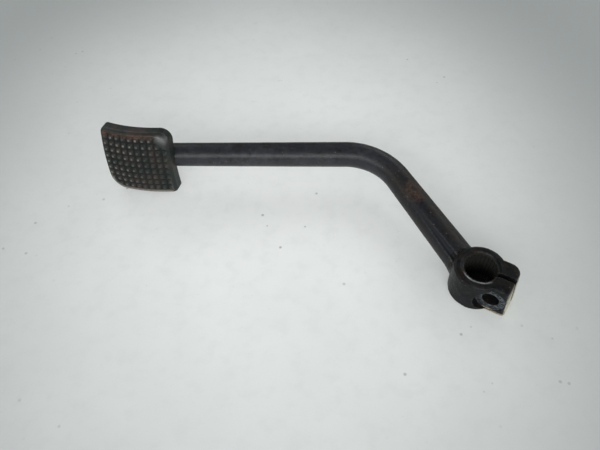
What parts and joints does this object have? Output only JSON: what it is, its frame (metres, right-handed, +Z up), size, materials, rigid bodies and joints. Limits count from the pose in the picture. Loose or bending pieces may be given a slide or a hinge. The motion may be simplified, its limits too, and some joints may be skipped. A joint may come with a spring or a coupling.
{
  "type": "foot lever",
  "caption": "Bent steel foot lever with a split serrated clamp boss at one end and a studded rubber pad on a curved plate at the other",
  "frame": {"origin": "on the axis of the clamp bore, level with the boss's lower face", "axes": "+Z up along the clamp bore; +X along the straight bar, from the pad towards the bend; +Y completes the right-handed frame"},
  "size_m": [0.1791, 0.0834, 0.0338],
  "materials": {
    "boss_steel": "worn black paint over forged steel, bare and oily in the bore",
    "bar_paint": "old satin black paint with fine wear and rust spots",
    "plate_paint": "dull black paint with rust at the edges",
    "weld": "painted-over weld bead",
    "rubber": "aged moulded rubber, polished on the rim and dusty between the studs"
  },
  "bodies": {
    "root": {"clamp_boss": "boss_steel", "lever_arm": "bar_paint", "boss_weld": "weld", "foot_plate": "plate_paint", "foot_plate_weld": "weld", "pad_rubber": "rubber"}
  },
  "joints": []
}
